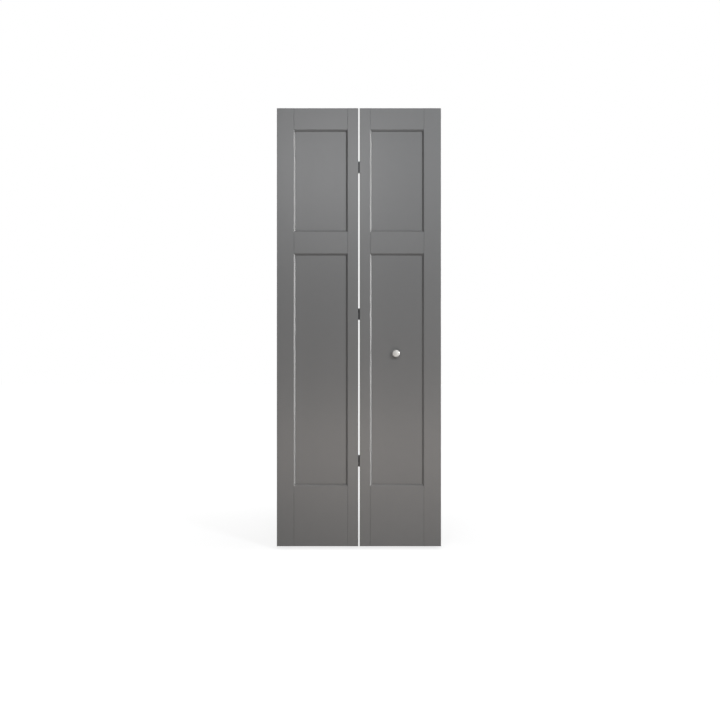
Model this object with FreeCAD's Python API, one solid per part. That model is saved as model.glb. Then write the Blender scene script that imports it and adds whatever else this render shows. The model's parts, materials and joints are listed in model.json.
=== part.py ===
import FreeCAD, Part
import math
import os

from FreeCAD import Vector

# A two-leaf bifold closet door, closed flat, in millimetres.
# +X runs along the door from the pivot leaf to the lead leaf, -Y is the front with the knob, +Z is up.
# The origin is the mouth of the bottom pivot bush, on the axis that the pivot leaf turns about.

# Leaves: face widths are the flat parts that show, without the bevelled sticking round the panels
DOOR_HEIGHT = 2006.6
LEAF_WIDTH = 373.0
LEAF_THICKNESS = 35.0
OUTER_STILE_FACE = 78.0
HINGE_STILE_FACE = 48.0
TOP_RAIL_FACE = 97.5
MID_RAIL_FACE = 97.5
BOTTOM_RAIL_FACE = 276.0
LOWER_OPENING_HEIGHT = 1065.6
STICKING_WIDTH = 7.6
STICKING_LIP = 2.5
PANEL_THICKNESS = 12.7
PANEL_CHAMFER = 1.5
GROOVE_DEPTH = 10.0
PANEL_FLOAT = 2.0
PANEL_CLEARANCE = 0.15
TENON_END_GAP = 0.8
JOINT_VEE = 1.0
ARRIS_RADIUS = 1.5

# Dowels in the rail ends
DOWEL_DIAMETER = 9.5
DOWEL_LENGTH = 76.0
DOWEL_IN_STILE = 30.0
DOWEL_CHAMFER = 1.2
DOWEL_MARGIN = 26.0
DOWEL_PITCH_LIMIT = 90.0
DOWEL_CLEARANCE = 0.1
DOWEL_END_GAP = 0.8

# Hinges: the rolled barrel sets the gap between the leaves and stands behind their backs
HINGE_NAMES = ("bottom", "middle", "top")
LOWEST_HINGE_RISE = 388.5
HIGHEST_HINGE_DROP = 265.0
HINGE_LENGTH = 50.8
HINGE_PLATE_THICKNESS = 1.6
HINGE_FRONT_SETBACK = 10.0
HINGE_CORNER_RADIUS = 4.0
HINGE_PIN_DIAMETER = 3.1
HINGE_PIN_HEAD_DIAMETER = 4.8
HINGE_PIN_HEAD_HEIGHT = 1.2
HINGE_RUNNING_CLEARANCE = 0.05
KNUCKLE_COUNT = 3
KNUCKLE_GAP = 0.3
ROLL_SLIT = 0.4

# Countersunk hinge screws
SCREW_HEAD_DIAMETER = 6.4
SCREW_HEAD_HEIGHT = 1.5
SCREW_SHANK_DIAMETER = 3.4
SCREW_LENGTH = 24.0
SCREW_TIP = 5.0
SCREW_MARGIN = 6.5
SCREW_CLEARANCE = 0.05

# Knob on the lead leaf's lower panel
KNOB_HEIGHT = 883.5
KNOB_INSET = 166.0
KNOB_DIAMETER = 34.0
KNOB_PROJECTION = 27.0
KNOB_RIM_RADIUS = 5.0
KNOB_FACE_CROWN = 2.2
KNOB_NECK_DIAMETER = 13.0
KNOB_BASE_DIAMETER = 20.0
KNOB_BASE_HEIGHT = 2.5
KNOB_SCREW_DIAMETER = 4.0
KNOB_SCREW_HEAD_DIAMETER = 9.0
KNOB_SCREW_HEAD_HEIGHT = 2.6
KNOB_SCREW_GRIP = 11.0
KNOB_WASHER_DIAMETER = 14.0
KNOB_WASHER_THICKNESS = 1.2
KNOB_HOLE_CLEARANCE = 0.4
KNOB_THREAD_CLEARANCE = 0.05

# Pivot and guide hardware on the outer stiles
PIVOT_INSET = 25.4
PLUNGER_TRAVEL = 13.0
PLUNGER_PIN_DIAMETER = 6.35
PLUNGER_COLLAR_DIAMETER = 9.0
PLUNGER_COLLAR_HEIGHT = 3.0
PLUNGER_TAIL_DIAMETER = 4.0
PLUNGER_TAIL_LENGTH = 5.0
PLUNGER_TIP_CHAMFER = 1.0
PLUNGER_TIP_CROWN = 1.6
PLUNGER_CROWN_STEPS = 4
SLEEVE_WALL = 1.0
SLEEVE_FLOOR = 2.0
SLEEVE_MOUTH = 2.5
SLEEVE_FLANGE_DIAMETER = 17.0
SLEEVE_FLANGE_THICKNESS = 1.6
SPRING_WIRE = 0.6
SPRING_TURNS = 6
SPRING_HEIGHT = 15.0
SPRING_CLEARANCE = 0.2
PIVOT_RUNNING_CLEARANCE = 0.08
BUSH_BORE_DIAMETER = 9.7
BUSH_BORE_DEPTH = 35.0
BUSH_WALL = 3.0
BUSH_FLOOR = 3.0
BUSH_FLANGE_DIAMETER = 22.0
BUSH_FLANGE_THICKNESS = 2.0
SEAT_CLEARANCE = 0.1

# Places worked out from the driving dimensions
UP = Vector(0, 0, 1)
DOWN = Vector(0, 0, -1)
FRONT = Vector(0, -1, 0)
BACK = Vector(0, 1, 0)
BARREL_RADIUS = HINGE_PIN_DIAMETER / 2 + HINGE_RUNNING_CLEARANCE + HINGE_PLATE_THICKNESS
HALF_THICKNESS = LEAF_THICKNESS / 2
HALF_GROOVE = PANEL_THICKNESS / 2 + PANEL_CLEARANCE
LIP_HALF = PANEL_THICKNESS / 2 + STICKING_LIP
OUTER_EDGE = -PIVOT_INSET
HINGE_EDGE = OUTER_EDGE + LEAF_WIDTH
MIDDLE = HINGE_EDGE + BARREL_RADIUS
HINGE_AXIS_BACK = HALF_THICKNESS + BARREL_RADIUS
LOWER_OPENING = BOTTOM_RAIL_FACE
MID_RAIL_BOTTOM = LOWER_OPENING + LOWER_OPENING_HEIGHT
UPPER_OPENING = MID_RAIL_BOTTOM + MID_RAIL_FACE
TOP_RAIL_BOTTOM = DOOR_HEIGHT - TOP_RAIL_FACE
OUTER_LIP = OUTER_EDGE + OUTER_STILE_FACE + STICKING_WIDTH
HINGE_LIP = HINGE_EDGE - HINGE_STILE_FACE - STICKING_WIDTH
OUTER_GROOVE = OUTER_LIP - GROOVE_DEPTH
HINGE_GROOVE = HINGE_LIP + GROOVE_DEPTH
KNOB_ACROSS = MIDDLE + BARREL_RADIUS + KNOB_INSET
GUIDE_ACROSS = 2 * MIDDLE
PLUNGER_BORE_RADIUS = PLUNGER_COLLAR_DIAMETER / 2 + PIVOT_RUNNING_CLEARANCE
SLEEVE_RADIUS = PLUNGER_BORE_RADIUS + SLEEVE_WALL
COLLAR_DEPTH = SLEEVE_MOUTH + PLUNGER_TRAVEL + PIVOT_RUNNING_CLEARANCE
SPRING_SEAT_DEPTH = COLLAR_DEPTH + PLUNGER_COLLAR_HEIGHT + SPRING_HEIGHT
BUSH_RADIUS = BUSH_BORE_DIAMETER / 2 + BUSH_WALL

# How far a cutter runs past the face that it opens
OVERCUT = 5.0


def block(low, high):
    """A box between two opposite corners."""
    size = high - low
    return Part.makeBox(size.x, size.y, size.z, low)


def turned(outline, base, direction):
    """A lathe-turned solid from (radius, height) corners, with height counted from base along direction."""
    corners = [Vector(radius, 0, height) for radius, height in outline]
    face = Part.Face(Part.makePolygon(corners + corners[:1]))
    return placed(face.revolve(Vector(0, 0, 0), UP, 360), base, direction)


def placed(shape, base, direction):
    """A shape made round +Z at the origin, set at base with its axis along direction."""
    shape.Placement = FreeCAD.Placement(base, FreeCAD.Rotation(UP, direction))
    return shape


def mirrored(shape):
    """The lead leaf's copy of a pivot leaf piece, on the other side of the gap."""
    return shape.mirror(Vector(MIDDLE, 0, 0), Vector(1, 0, 0))


def stile_blank(edge, toward, face):
    """A stile without its groove: rounded arrises on its outer edge, a bevel each side of its panel edge."""
    soft = ARRIS_RADIUS * (1 - math.sqrt(0.5))

    def at(across, depth):
        return Vector(edge + toward * across, depth, 0)

    corners = [at(ARRIS_RADIUS, -HALF_THICKNESS), at(face, -HALF_THICKNESS)]
    corners += [at(face + STICKING_WIDTH, -LIP_HALF), at(face + STICKING_WIDTH, LIP_HALF)]
    corners += [at(face, HALF_THICKNESS), at(ARRIS_RADIUS, HALF_THICKNESS)]
    outline = [Part.makeLine(a, b) for a, b in zip(corners, corners[1:])]
    back_start = at(0, HALF_THICKNESS - ARRIS_RADIUS)
    front_end = at(0, -HALF_THICKNESS + ARRIS_RADIUS)
    outline.append(Part.Arc(corners[-1], at(soft, HALF_THICKNESS - soft), back_start).toShape())
    outline.append(Part.makeLine(back_start, front_end))
    outline.append(Part.Arc(front_end, at(soft, -HALF_THICKNESS + soft), corners[0]).toShape())
    return Part.Face(Part.Wire(outline)).extrude(UP * DOOR_HEIGHT)


def outer_stile_blank():
    return stile_blank(OUTER_EDGE, 1, OUTER_STILE_FACE)


def hinge_stile_blank():
    return stile_blank(HINGE_EDGE, -1, HINGE_STILE_FACE)


def stile_groove():
    """The panel grooves of both stiles of a leaf, as one cutter along the whole height."""
    low = Vector(OUTER_GROOVE, -HALF_GROOVE, -OVERCUT)
    high = Vector(HINGE_GROOVE, HALF_GROOVE, DOOR_HEIGHT + OVERCUT)
    return block(low, high)


def rail_places():
    """Each rail's lowest and highest face edge, and whether a panel lies below and above it."""
    return {
        "bottom_rail": (0.0, LOWER_OPENING, False, True),
        "mid_rail": (MID_RAIL_BOTTOM, UPPER_OPENING, True, True),
        "top_rail": (TOP_RAIL_BOTTOM, DOOR_HEIGHT, True, False),
    }


def rail_core(low, high, panel_below, panel_above):
    """Lowest and highest point of a rail's solid core, between its panel grooves."""
    inward = GROOVE_DEPTH - STICKING_WIDTH
    core_low = low + inward if panel_below else low
    core_high = high - inward if panel_above else high
    return core_low, core_high


def rail(low, high, panel_below, panel_above):
    """A rail with sticking and a groove on each panel edge, coped ends and stub tenons."""
    foot = low - STICKING_WIDTH if panel_below else low
    head = high + STICKING_WIDTH if panel_above else high
    core_low, core_high = rail_core(low, high, panel_below, panel_above)
    start = OUTER_EDGE + OUTER_STILE_FACE + JOINT_VEE
    end = HINGE_EDGE - HINGE_STILE_FACE - JOINT_VEE

    corners = [Vector(start, -HALF_THICKNESS, low), Vector(start, -HALF_THICKNESS, high)]
    if panel_above:
        corners += [Vector(start, -LIP_HALF, head), Vector(start, LIP_HALF, head)]
    corners += [Vector(start, HALF_THICKNESS, high), Vector(start, HALF_THICKNESS, low)]
    if panel_below:
        corners += [Vector(start, LIP_HALF, foot), Vector(start, -LIP_HALF, foot)]
    outline = Part.makePolygon(corners + corners[:1])
    piece = Part.Face(outline).extrude(Vector(end - start, 0, 0))
    piece = piece.cut([outer_stile_blank(), hinge_stile_blank()])

    if panel_below:
        piece = piece.cut(block(Vector(start, -HALF_GROOVE, foot), Vector(end, HALF_GROOVE, core_low)))
    if panel_above:
        piece = piece.cut(block(Vector(start, -HALF_GROOVE, core_high), Vector(end, HALF_GROOVE, head)))
    tenon_half = PANEL_THICKNESS / 2
    tenon_low = Vector(OUTER_GROOVE + TENON_END_GAP, -tenon_half, core_low)
    tenon_high = Vector(HINGE_GROOVE - TENON_END_GAP, tenon_half, core_high)
    piece = piece.fuse(block(tenon_low, tenon_high)).removeSplitter()
    return piece.cut(dowel_bores(core_low, core_high)).removeSplitter()


def dowel_heights(low, high):
    """Dowel heights in one rail end: one near each edge of the core, and more between them in a deep rail."""
    first = low + DOWEL_MARGIN
    last = high - DOWEL_MARGIN
    steps = max(1, math.ceil((last - first) / DOWEL_PITCH_LIMIT))
    return [first + (last - first) * step / steps for step in range(steps + 1)]


def dowel_starts():
    """Where a dowel's stile end lies and which way it runs, for the two ends of a rail."""
    return ((OUTER_GROOVE - DOWEL_IN_STILE, 1), (HINGE_GROOVE + DOWEL_IN_STILE, -1))


def dowels(low, high):
    """The dowels of one rail."""
    radius = DOWEL_DIAMETER / 2
    nose = radius - DOWEL_CHAMFER
    outline = [(0, 0), (nose, 0), (radius, DOWEL_CHAMFER)]
    outline += [(radius, DOWEL_LENGTH - DOWEL_CHAMFER), (nose, DOWEL_LENGTH), (0, DOWEL_LENGTH)]
    pegs = []
    for start, toward in dowel_starts():
        for height in dowel_heights(low, high):
            pegs.append(turned(outline, Vector(start, 0, height), Vector(toward, 0, 0)))
    return pegs


def dowel_bores(low, high):
    """The holes for the dowels of one rail, in the rail and in both stiles."""
    radius = DOWEL_DIAMETER / 2 + DOWEL_CLEARANCE
    length = DOWEL_LENGTH + 2 * DOWEL_END_GAP
    bores = []
    for start, toward in dowel_starts():
        for height in dowel_heights(low, high):
            base = Vector(start - toward * DOWEL_END_GAP, 0, height)
            bores.append(Part.makeCylinder(radius, length, base, Vector(toward, 0, 0)))
    return bores


def panel(low, high):
    """A flat panel that floats in the grooves round one opening, with its hidden edges chamfered."""
    reach = GROOVE_DEPTH - STICKING_WIDTH - PANEL_FLOAT
    half = PANEL_THICKNESS / 2
    corner_low = Vector(OUTER_GROOVE + PANEL_FLOAT, -half, low - reach)
    corner_high = Vector(HINGE_GROOVE - PANEL_FLOAT, half, high + reach)
    sheet = block(corner_low, corner_high)
    rims = [edge for edge in sheet.Edges if edge.BoundBox.YLength < half]
    return sheet.makeChamfer(PANEL_CHAMFER, rims)


def hinge_centres():
    """Name and height of each hinge, evenly spaced between the lowest and the highest."""
    span = DOOR_HEIGHT - HIGHEST_HINGE_DROP - LOWEST_HINGE_RISE
    spacing = span / (len(HINGE_NAMES) - 1)
    return [(name, LOWEST_HINGE_RISE + spacing * n) for n, name in enumerate(HINGE_NAMES)]


def knuckle_span(index):
    """Lowest and highest point of a knuckle, from the foot of its hinge."""
    length = (HINGE_LENGTH - KNUCKLE_GAP * (KNUCKLE_COUNT - 1)) / KNUCKLE_COUNT
    low = index * (length + KNUCKLE_GAP)
    return low, low + length


def knuckle(index):
    """One rolled knuckle of the pivot side plate, round the pin axis at the origin."""
    low, high = knuckle_span(index)
    inner = BARREL_RADIUS - HINGE_PLATE_THICKNESS
    tail = BARREL_RADIUS + KNUCKLE_GAP + HINGE_PLATE_THICKNESS
    close = -math.acos((ROLL_SLIT - inner) / BARREL_RADIUS)
    over = (math.pi + close) / 2

    def on(radius, angle):
        return Vector(radius * math.cos(angle), radius * math.sin(angle), low)

    outline = [
        Part.makeLine(Vector(-BARREL_RADIUS, -tail, low), on(BARREL_RADIUS, math.pi)),
        Part.Arc(on(BARREL_RADIUS, math.pi), on(BARREL_RADIUS, over), on(BARREL_RADIUS, close)).toShape(),
        Part.makeLine(on(BARREL_RADIUS, close), on(inner, close)),
        Part.Arc(on(inner, close), on(inner, over), on(inner, math.pi)).toShape(),
        Part.makeLine(on(inner, math.pi), Vector(-inner, -tail, low)),
        Part.makeLine(Vector(-inner, -tail, low), Vector(-BARREL_RADIUS, -tail, low)),
    ]
    return Part.Face(Part.Wire(outline)).extrude(UP * (high - low))


def hinge_plate(first_knuckle):
    """The pivot side plate of a hinge; it has every second knuckle, counted up from first_knuckle."""
    flat_end = -BARREL_RADIUS - KNUCKLE_GAP
    flat_start = HINGE_FRONT_SETBACK - HALF_THICKNESS - HINGE_AXIS_BACK
    low = Vector(-BARREL_RADIUS, flat_start, 0)
    high = Vector(HINGE_PLATE_THICKNESS - BARREL_RADIUS, flat_end, HINGE_LENGTH)
    flat = block(low, high)
    front_edges = [edge for edge in flat.Edges if edge.CenterOfMass.y < (flat_start + flat_end) / 2]
    corners = [edge for edge in front_edges if edge.Length < (HINGE_LENGTH + flat_end - flat_start) / 4]
    flat = flat.makeFillet(HINGE_CORNER_RADIUS, corners)
    rolls = [knuckle(index) for index in range(first_knuckle, KNUCKLE_COUNT, 2)]
    plate = flat.fuse(rolls).removeSplitter()
    return plate.cut(screws(SCREW_CLEARANCE))


def screw_places():
    """Depth from the pin axis and height of each screw: two by the back and one by the front edge."""
    by_back = HALF_THICKNESS - HINGE_AXIS_BACK - SCREW_MARGIN
    by_front = HINGE_FRONT_SETBACK - HALF_THICKNESS - HINGE_AXIS_BACK + SCREW_MARGIN
    return ((by_back, SCREW_MARGIN), (by_front, HINGE_LENGTH / 2), (by_back, HINGE_LENGTH - SCREW_MARGIN))


def screws(clearance):
    """The screws of one pivot side plate, or their holes when clearance is more than 0."""
    head = SCREW_HEAD_DIAMETER / 2 + clearance
    shank = SCREW_SHANK_DIAMETER / 2 + clearance
    outline = [(0, 0), (head, 0), (shank, SCREW_HEAD_HEIGHT)]
    outline += [(shank, SCREW_LENGTH - SCREW_TIP), (0, SCREW_LENGTH + clearance)]
    if clearance:
        outline = [(0, -OVERCUT), (head, -OVERCUT)] + outline[1:]
    face = HINGE_PLATE_THICKNESS - BARREL_RADIUS
    inward = Vector(-1, 0, 0)
    return [turned(outline, Vector(face, depth, height), inward) for depth, height in screw_places()]


def at_hinge(shape, height):
    """A hinge piece made round the pin axis at the origin, moved to the hinge at this height."""
    return shape.translated(Vector(MIDDLE, HINGE_AXIS_BACK, height - HINGE_LENGTH / 2))


def hinge_pin():
    """The hinge pin with a rounded head spun over each end of the barrel."""
    radius = HINGE_PIN_DIAMETER / 2
    head = HINGE_PIN_HEAD_DIAMETER / 2
    crown = HINGE_PIN_HEAD_HEIGHT / 2
    outline = [(0, -HINGE_PIN_HEAD_HEIGHT), (head - crown, -HINGE_PIN_HEAD_HEIGHT), (head, -crown), (head, 0)]
    outline += [(radius, 0), (radius, HINGE_LENGTH), (head, HINGE_LENGTH), (head, HINGE_LENGTH + crown)]
    top = HINGE_LENGTH + HINGE_PIN_HEAD_HEIGHT
    outline += [(head - crown, top), (0, top)]
    return turned(outline, Vector(0, 0, 0), UP)


def knob():
    """A round knob: spread foot, waisted neck, flaring underside, and a domed face that runs into a rolled rim."""
    rim = KNOB_DIAMETER / 2
    foot = KNOB_BASE_DIAMETER / 2
    neck = KNOB_NECK_DIAMETER / 2
    lip = rim - KNOB_RIM_RADIUS
    roll = KNOB_PROJECTION - KNOB_FACE_CROWN - KNOB_RIM_RADIUS
    under = roll - KNOB_RIM_RADIUS
    waist = (KNOB_BASE_HEIGHT + under) / 2
    reach = (lip * lip + KNOB_FACE_CROWN * KNOB_FACE_CROWN) / (2 * KNOB_FACE_CROWN)
    lean = math.asin(lip / reach)
    dome = reach + KNOB_RIM_RADIUS

    def at(radius, height):
        return Vector(radius, 0, height)

    def on_dome(angle):
        return at(dome * math.sin(angle), KNOB_PROJECTION - dome * (1 - math.cos(angle)))

    outline = [
        Part.makeLine(at(0, 0), at(foot, 0)),
        Part.makeLine(at(foot, 0), at(foot, KNOB_BASE_HEIGHT)),
        Part.Arc(at(foot, KNOB_BASE_HEIGHT), at(neck, waist), at(lip, under)).toShape(),
        Part.Arc(at(lip, under), at(rim, roll), on_dome(lean)).toShape(),
        Part.Arc(on_dome(lean), on_dome(lean / 2), at(0, KNOB_PROJECTION)).toShape(),
        Part.makeLine(at(0, KNOB_PROJECTION), at(0, 0)),
    ]
    body = Part.Face(Part.Wire(outline)).revolve(Vector(0, 0, 0), UP, 360)
    tapped = KNOB_SCREW_DIAMETER / 2 + KNOB_THREAD_CLEARANCE
    body = body.cut(Part.makeCylinder(tapped, KNOB_SCREW_GRIP + 2 * KNOB_THREAD_CLEARANCE))
    return placed(body, Vector(KNOB_ACROSS, -PANEL_THICKNESS / 2, KNOB_HEIGHT), FRONT)


def knob_hole():
    """The hole for the knob screw through the lead leaf's lower panel."""
    radius = KNOB_SCREW_DIAMETER / 2 + KNOB_HOLE_CLEARANCE
    return Part.makeCylinder(radius, LEAF_THICKNESS, Vector(KNOB_ACROSS, HALF_THICKNESS, KNOB_HEIGHT), FRONT)


def knob_washer():
    """The flat washer under the knob screw's head."""
    hole = KNOB_SCREW_DIAMETER / 2 + KNOB_HOLE_CLEARANCE
    outline = [(hole, 0), (KNOB_WASHER_DIAMETER / 2, 0)]
    outline += [(KNOB_WASHER_DIAMETER / 2, KNOB_WASHER_THICKNESS), (hole, KNOB_WASHER_THICKNESS)]
    return turned(outline, Vector(KNOB_ACROSS, PANEL_THICKNESS / 2, KNOB_HEIGHT), BACK)


def knob_screw():
    """The round-headed machine screw that draws the knob against the panel from behind."""
    shank = KNOB_SCREW_DIAMETER / 2
    head = KNOB_SCREW_HEAD_DIAMETER / 2
    crown = KNOB_SCREW_HEAD_HEIGHT / 2
    reach = KNOB_SCREW_GRIP + PANEL_THICKNESS + KNOB_WASHER_THICKNESS
    outline = [(0, -reach), (shank, -reach), (shank, 0), (head, 0), (head, crown)]
    outline += [(head - crown, KNOB_SCREW_HEAD_HEIGHT), (0, KNOB_SCREW_HEAD_HEIGHT)]
    seat = PANEL_THICKNESS / 2 + KNOB_WASHER_THICKNESS
    return turned(outline, Vector(KNOB_ACROSS, seat, KNOB_HEIGHT), BACK)


def sleeve_outline(clearance):
    """Outside of a plunger sleeve as (radius, depth) corners below the top of the door."""
    body = SLEEVE_RADIUS + clearance
    flange = SLEEVE_FLANGE_DIAMETER / 2 + clearance
    end = SPRING_SEAT_DEPTH + SLEEVE_FLOOR + clearance
    shoulder = SLEEVE_FLANGE_THICKNESS + clearance
    return [(0, 0), (flange, 0), (flange, shoulder), (body, shoulder), (body, end), (0, end)]


def door_top(across):
    return Vector(across, 0, DOOR_HEIGHT)


def plunger_seat(across):
    """The counterbored hole that a plunger sleeve is pressed into."""
    return turned(sleeve_outline(SEAT_CLEARANCE), door_top(across), DOWN)


def plunger_sleeve(across):
    """A flanged sleeve, flush with the top of the door, whose narrow mouth keeps the pin's collar in."""
    mouth = PLUNGER_PIN_DIAMETER / 2 + PIVOT_RUNNING_CLEARANCE
    bore = [(0, -OVERCUT), (mouth, -OVERCUT), (mouth, SLEEVE_MOUTH), (PLUNGER_BORE_RADIUS, SLEEVE_MOUTH)]
    bore += [(PLUNGER_BORE_RADIUS, SPRING_SEAT_DEPTH), (0, SPRING_SEAT_DEPTH)]
    outside = turned(sleeve_outline(0), door_top(across), DOWN)
    return outside.cut(turned(bore, door_top(across), DOWN))


def plunger_pin(across, tip_outline):
    """A pin pressed in flush: tip, shank, the collar that its spring pushes and a tail in the spring."""
    shank = PLUNGER_PIN_DIAMETER / 2
    collar = PLUNGER_COLLAR_DIAMETER / 2
    tail = PLUNGER_TAIL_DIAMETER / 2
    collar_end = COLLAR_DEPTH + PLUNGER_COLLAR_HEIGHT
    tail_end = collar_end + PLUNGER_TAIL_LENGTH
    outline = tip_outline + [(shank, COLLAR_DEPTH), (collar, COLLAR_DEPTH), (collar, collar_end)]
    outline += [(tail, collar_end), (tail, tail_end), (0, tail_end)]
    return turned(outline, door_top(across), DOWN)


def chamfered_tip():
    """Tip of the steel pivot pin, as (radius, depth) corners."""
    shank = PLUNGER_PIN_DIAMETER / 2
    return [(0, 0), (shank - PLUNGER_TIP_CHAMFER, 0), (shank, PLUNGER_TIP_CHAMFER)]


def crowned_tip():
    """Rounded tip of the nylon guide pin, as (radius, depth) corners on a quarter ellipse."""
    shank = PLUNGER_PIN_DIAMETER / 2
    turns = [math.pi / 2 * step / PLUNGER_CROWN_STEPS for step in range(PLUNGER_CROWN_STEPS + 1)]
    return [(shank * math.sin(turn), PLUNGER_TIP_CROWN * (1 - math.cos(turn))) for turn in turns]


def tangent_arcs(start, start_way, end, end_way):
    """Two arcs that join in line and leave start and reach end in the ways given."""
    chord = end - start
    ways = start_way + end_way
    square = ways.dot(ways) - 4
    lean = chord.dot(ways)
    reach = (lean - math.sqrt(lean * lean - square * chord.dot(chord))) / square
    first_corner = start + start_way * reach
    second_corner = end - end_way * reach
    joint = (first_corner + second_corner) / 2
    return [arc_round(start, first_corner, joint), arc_round(joint, second_corner, end)]


def arc_round(start, corner, end):
    """The arc from start to end whose end tangents meet at corner."""
    foot = (start + end) / 2
    cosine = (end - start).Length / 2 / (corner - start).Length
    middle = foot + (corner - foot) * (cosine / (1 + cosine))
    return Part.Arc(start, middle, end).toShape()


def spring(across):
    """The spring of a plunger: a round wire coiled between the sleeve's floor and the pin's collar."""
    radius = PLUNGER_BORE_RADIUS - SPRING_CLEARANCE - SPRING_WIRE / 2
    rise = (SPRING_HEIGHT - SPRING_WIRE - 2 * SPRING_CLEARANCE) / SPRING_TURNS
    floor = DOOR_HEIGHT - SPRING_SEAT_DEPTH + SPRING_CLEARANCE + SPRING_WIRE / 2

    def place(turn):
        angle = 2 * math.pi * turn
        return Vector(across + radius * math.cos(angle), radius * math.sin(angle), floor + rise * turn)

    def way(turn):
        angle = 2 * math.pi * turn
        return Vector(-radius * math.sin(angle), radius * math.cos(angle), rise / (2 * math.pi)).normalize()

    halves = [half / 2 for half in range(2 * SPRING_TURNS + 1)]
    path = []
    for start, end in zip(halves, halves[1:]):
        path += tangent_arcs(place(start), way(start), place(end), way(end))
    section = Part.Wire(Part.Circle(place(0), way(0), SPRING_WIRE / 2).toShape())
    return Part.Wire(path).makePipeShell([section], True, False)


def bush_outline(clearance):
    """Outside of the bottom pivot bush as (radius, height) corners above the bottom of the door."""
    body = BUSH_RADIUS + clearance
    flange = BUSH_FLANGE_DIAMETER / 2 + clearance
    shoulder = BUSH_FLANGE_THICKNESS + clearance
    end = BUSH_BORE_DEPTH + BUSH_FLOOR + clearance
    return [(0, 0), (flange, 0), (flange, shoulder), (body, shoulder), (body, end), (0, end)]


def bottom_pivot_bush():
    """The flanged bush that drops on the floor bracket's pin and carries the door on its closed end."""
    bore = Part.makeCylinder(BUSH_BORE_DIAMETER / 2, BUSH_BORE_DEPTH)
    return turned(bush_outline(0), Vector(0, 0, 0), UP).cut(bore)


def leaf_frame():
    """The wooden pieces of the pivot leaf, by name, with the bores and grooves that both leaves share."""
    pieces = {}
    bores = []
    pegs = []
    for name, place in rail_places().items():
        pieces[name] = rail(*place)
        bores += dowel_bores(*rail_core(*place))
        pegs += dowels(*rail_core(*place))
    groove = stile_groove()
    screw_holes = []
    for _, height in hinge_centres():
        screw_holes += [at_hinge(hole, height) for hole in screws(SCREW_CLEARANCE)]
    pieces["outer_stile"] = outer_stile_blank().cut([groove] + bores + [plunger_seat(0)])
    pieces["hinge_stile"] = hinge_stile_blank().cut([groove] + bores + screw_holes)
    pieces["upper_panel"] = panel(UPPER_OPENING, TOP_RAIL_BOTTOM)
    pieces["lower_panel"] = panel(LOWER_OPENING, MID_RAIL_BOTTOM)
    pieces["dowels"] = Part.makeCompound(pegs)
    return pieces


def door():
    """Every piece of the door by its node name."""
    nodes = {}
    for name, piece in leaf_frame().items():
        nodes["pivot_" + name] = piece
        nodes["lead_" + name] = mirrored(piece)
    bush_seat = turned(bush_outline(SEAT_CLEARANCE), Vector(0, 0, 0), UP)
    nodes["pivot_outer_stile"] = nodes["pivot_outer_stile"].cut(bush_seat)
    nodes["lead_lower_panel"] = nodes["lead_lower_panel"].cut(knob_hole())

    pivot_screws = []
    for name, height in hinge_centres():
        nodes[name + "_hinge_pivot_plate"] = at_hinge(hinge_plate(0), height)
        nodes[name + "_hinge_lead_plate"] = mirrored(at_hinge(hinge_plate(1), height))
        nodes[name + "_hinge_pin"] = at_hinge(hinge_pin(), height)
        pivot_screws += [at_hinge(screw, height) for screw in screws(0)]
    nodes["pivot_hinge_screws"] = Part.makeCompound(pivot_screws)
    nodes["lead_hinge_screws"] = mirrored(nodes["pivot_hinge_screws"])

    nodes["knob"] = knob()
    nodes["knob_washer"] = knob_washer()
    nodes["knob_screw"] = knob_screw()

    for name, across, tip in (("top_pivot", 0, chamfered_tip()), ("top_guide", GUIDE_ACROSS, crowned_tip())):
        nodes[name + "_sleeve"] = plunger_sleeve(across)
        nodes[name + "_spring"] = spring(across)
        nodes[name + "_pin"] = plunger_pin(across, tip)
    nodes["bottom_pivot_bush"] = bottom_pivot_bush()
    return nodes


os.makedirs("parts", exist_ok=True)
for node_name, node_shape in door().items():
    node_shape.exportStep("parts/" + node_name + ".step")
    print(node_name, len(node_shape.Solids), "solids", round(node_shape.Volume), "mm3", node_shape.isValid())
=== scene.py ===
# %% [markdown]
# # Dressing a bifold closet door
#
# A bifold door is two narrow leaves hinged edge to edge. One leaf turns on pivots at the jamb, the
# other leads with the knob, and the pair folds to one side of the opening. This lesson starts from a
# finished construction model in metres, which stays where it is, and gives its pieces the soft edges
# and the finish that a photograph would show.
#
# Work in cells from top to bottom. A cell that makes or measures something prints it.

# %% Load the construction model
import json
import math

import bmesh
import bpy
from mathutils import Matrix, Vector

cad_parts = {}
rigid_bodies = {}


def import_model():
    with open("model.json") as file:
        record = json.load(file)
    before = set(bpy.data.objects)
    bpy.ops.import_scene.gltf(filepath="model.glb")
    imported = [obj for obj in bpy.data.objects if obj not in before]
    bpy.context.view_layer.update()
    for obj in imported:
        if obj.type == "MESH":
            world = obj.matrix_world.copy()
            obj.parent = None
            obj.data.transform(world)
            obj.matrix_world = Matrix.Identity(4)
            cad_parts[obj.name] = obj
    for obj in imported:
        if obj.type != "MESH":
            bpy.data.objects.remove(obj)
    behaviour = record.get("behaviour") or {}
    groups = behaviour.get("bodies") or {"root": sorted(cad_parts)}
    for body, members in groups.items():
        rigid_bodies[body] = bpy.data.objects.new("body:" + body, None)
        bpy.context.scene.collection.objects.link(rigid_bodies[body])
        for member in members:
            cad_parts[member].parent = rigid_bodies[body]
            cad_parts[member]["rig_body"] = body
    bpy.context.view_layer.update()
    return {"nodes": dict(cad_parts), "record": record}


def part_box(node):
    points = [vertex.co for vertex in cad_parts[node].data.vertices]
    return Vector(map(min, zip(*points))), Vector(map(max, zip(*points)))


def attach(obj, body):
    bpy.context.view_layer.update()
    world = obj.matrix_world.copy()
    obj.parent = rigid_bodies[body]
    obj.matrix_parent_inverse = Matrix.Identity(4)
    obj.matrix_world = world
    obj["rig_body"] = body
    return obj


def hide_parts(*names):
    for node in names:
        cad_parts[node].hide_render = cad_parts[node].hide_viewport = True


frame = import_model()
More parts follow.
